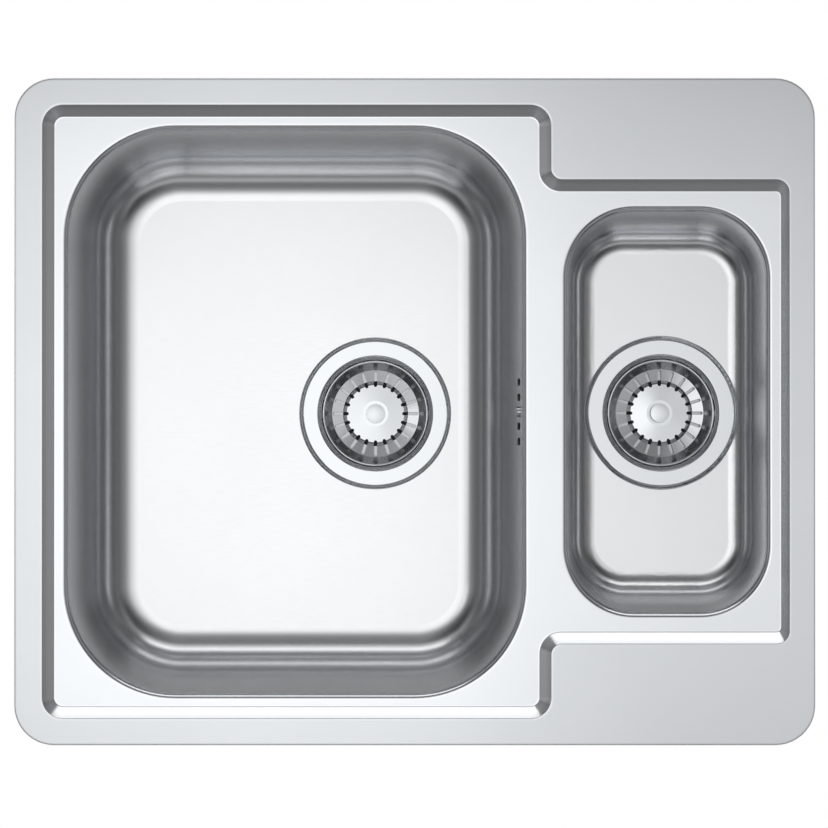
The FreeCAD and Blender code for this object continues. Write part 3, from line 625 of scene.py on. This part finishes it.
# Studio
def add_light(name, size, place, target, radiance):
    """Soft box that faces a target and that the camera doesn't see."""
    data = bpy.data.lights.new(name, "AREA")
    data.shape = "RECTANGLE"
    length, width = size
    data.size, data.size_y = length, width
    data.energy = radiance * length * width * math.pi
    light = bpy.data.objects.new(name, data)
    scene.collection.objects.link(light)
    light.location = place
    light.rotation_euler = (Vector(target) - Vector(place)).to_track_quat("-Z", "Y").to_euler()
    light.visible_camera = False


def emitter(name):
    """Material that only shines, with its nodes and the socket of its strength."""
    material = bpy.data.materials.new(name)
    material.use_nodes = True
    tree = material.node_tree
    tree.nodes.clear()
    shine = tree.nodes.new("ShaderNodeEmission")
    output = tree.nodes.new("ShaderNodeOutputMaterial")
    tree.links.new(shine.outputs["Emission"], output.inputs["Surface"])
    return material, tree, shine.inputs["Strength"]


def level_sheet(name, half, z):
    """Flat square in the studio, which isn't part of the object."""
    mesh = bpy.data.meshes.new(name)
    corners = [(-half, -half, z), (half, -half, z), (half, half, z), (-half, half, z)]
    mesh.from_pydata(corners, [], [(0, 1, 2, 3)])
    sheet = bpy.data.objects.new(name, mesh)
    scene.collection.objects.link(sheet)
    return sheet


def mixed_shader(tree, factor, first, second):
    """Shader that goes from the first to the second with the factor."""
    node = tree.nodes.new("ShaderNodeMixShader")
    for socket, value in zip(node.inputs, (factor, first, second)):
        tree.links.new(value, socket)
    return node.outputs["Shader"]


def add_canopy():
    """Wide soft light overhead that fades towards its edges."""
    canopy = level_sheet("canopy", CANOPY_REACH, CANOPY_HEIGHT)
    material, tree, strength = emitter("canopy_light")
    x, y, _ = axes_of(tree, object_place(tree))
    along_x = profiled(tree, x, CANOPY_ALONG_X)
    along_y = profiled(tree, y, CANOPY_ALONG_Y)
    level = product(tree, along_x, along_y)
    link(tree, strength, product(tree, level, CANOPY_RADIANCE))
    canopy.data.materials.append(material)
    canopy.visible_camera = False


def add_floor():
    """Pale floor, white to the camera and in reflections, and clear from below."""
    floor = level_sheet("floor", FLOOR_SIZE / 2, cad_low.z - FLOOR_GAP)
    material, tree, shader = new_material("floor_paint")
    shader.inputs["Base Color"].default_value = (*FLOOR_COLOUR, 1)
    shader.inputs["Roughness"].default_value = FLOOR_ROUGH
    path = tree.nodes.new("ShaderNodeLightPath")
    seen = calculated(tree, "MAXIMUM", path.outputs["Is Camera Ray"], path.outputs["Is Glossy Ray"])
    seen = calculated(tree, "MAXIMUM", seen, path.outputs["Is Transmission Ray"])
    white = tree.nodes.new("ShaderNodeEmission")
    white.inputs["Color"].default_value = (*WHITE, 1)
    white.inputs["Strength"].default_value = 1.0
    top = mixed_shader(tree, seen, shader.outputs["BSDF"], white.outputs["Emission"])
    geometry = tree.nodes.new("ShaderNodeNewGeometry")
    clear = tree.nodes.new("ShaderNodeBsdfTransparent")
    surface = mixed_shader(tree, geometry.outputs["Backfacing"], top, clear.outputs["BSDF"])
    output = next(n for n in tree.nodes if n.type == "OUTPUT_MATERIAL")
    tree.links.new(surface, output.inputs["Surface"])
    floor.data.materials.append(material)


def set_world():
    """Sky that is dim at the horizon, plain for matt surfaces and white behind the object."""
    world = bpy.data.worlds.new("studio")
    scene.world = world
    world.use_nodes = True
    tree = world.node_tree
    tree.nodes.clear()
    direction = tree.nodes.new("ShaderNodeTexCoord").outputs["Generated"]
    x, y, height = axes_of(tree, direction)
    ends = ranged(tree, product(tree, y, y), END_FROM, END_TO, 0.0, 1.0)
    corner = calculated(tree, "ABSOLUTE", product(tree, x, y))
    corner = ranged(tree, corner, CORNER_FROM, CORNER_TO, 0.0, CORNER_LIGHT)
    level = calculated(tree, "ADD", profiled(tree, height, WORLD_PROFILE), corner)
    level = calculated(tree, "MULTIPLY_ADD", profiled(tree, height, END_PROFILE), ends, level)
    path = tree.nodes.new("ShaderNodeLightPath")
    first, second, result = MIX_NUMBERS
    for ray, value in (("Is Diffuse Ray", WORLD_DIFFUSE), ("Is Camera Ray", 1.0)):
        choice = tree.nodes.new("ShaderNodeMix")
        tree.links.new(path.outputs[ray], choice.inputs[MIX_FACTOR])
        tree.links.new(level, choice.inputs[first])
        choice.inputs[second].default_value = value
        level = choice.outputs[result]
    background = tree.nodes.new("ShaderNodeBackground")
    background.inputs["Color"].default_value = (*WHITE, 1)
    tree.links.new(level, background.inputs["Strength"])
    output = tree.nodes.new("ShaderNodeOutputWorld")
    tree.links.new(background.outputs["Background"], output.inputs["Surface"])


def add_camera():
    """Camera above, a little to the front, aimed at the photograph's centre."""
    middle = IMAGE_SIZE / 2
    x = (middle - CENTRE_PIXEL[0]) * METRES_PER_PIXEL
    y = (CENTRE_PIXEL[1] - middle) * METRES_PER_PIXEL
    data = bpy.data.cameras.new("camera")
    data.sensor_width = SENSOR_WIDTH
    data.lens = SENSOR_WIDTH * CAMERA_DISTANCE / (IMAGE_SIZE * METRES_PER_PIXEL)
    data.clip_start = CLIP_NEAR
    data.clip_end = CLIP_FAR
    camera = bpy.data.objects.new("camera", data)
    scene.collection.objects.link(camera)
    camera.location = (x, y - CAMERA_FORWARD, cad_high.z + CAMERA_DISTANCE)
    camera.rotation_euler = (math.atan2(CAMERA_FORWARD, CAMERA_DISTANCE), 0, 0)
    scene.camera = camera


add_floor()
set_world()
add_canopy()
add_light("rear", REAR_SIZE, REAR_AT, ORIGIN, REAR_RADIANCE)
for name, side in (("right_card", 1), ("left_card", -1)):
    add_light(name, CARD_SIZE, (side * CARD_DISTANCE, 0, CARD_HEIGHT), ORIGIN, CARD_RADIANCE)
add_light("patch", PATCH_SIZE, PATCH_AT, (*PATCH_AT[:2], 0), PATCH_RADIANCE)
add_camera()

scene.view_settings.view_transform = "Standard"
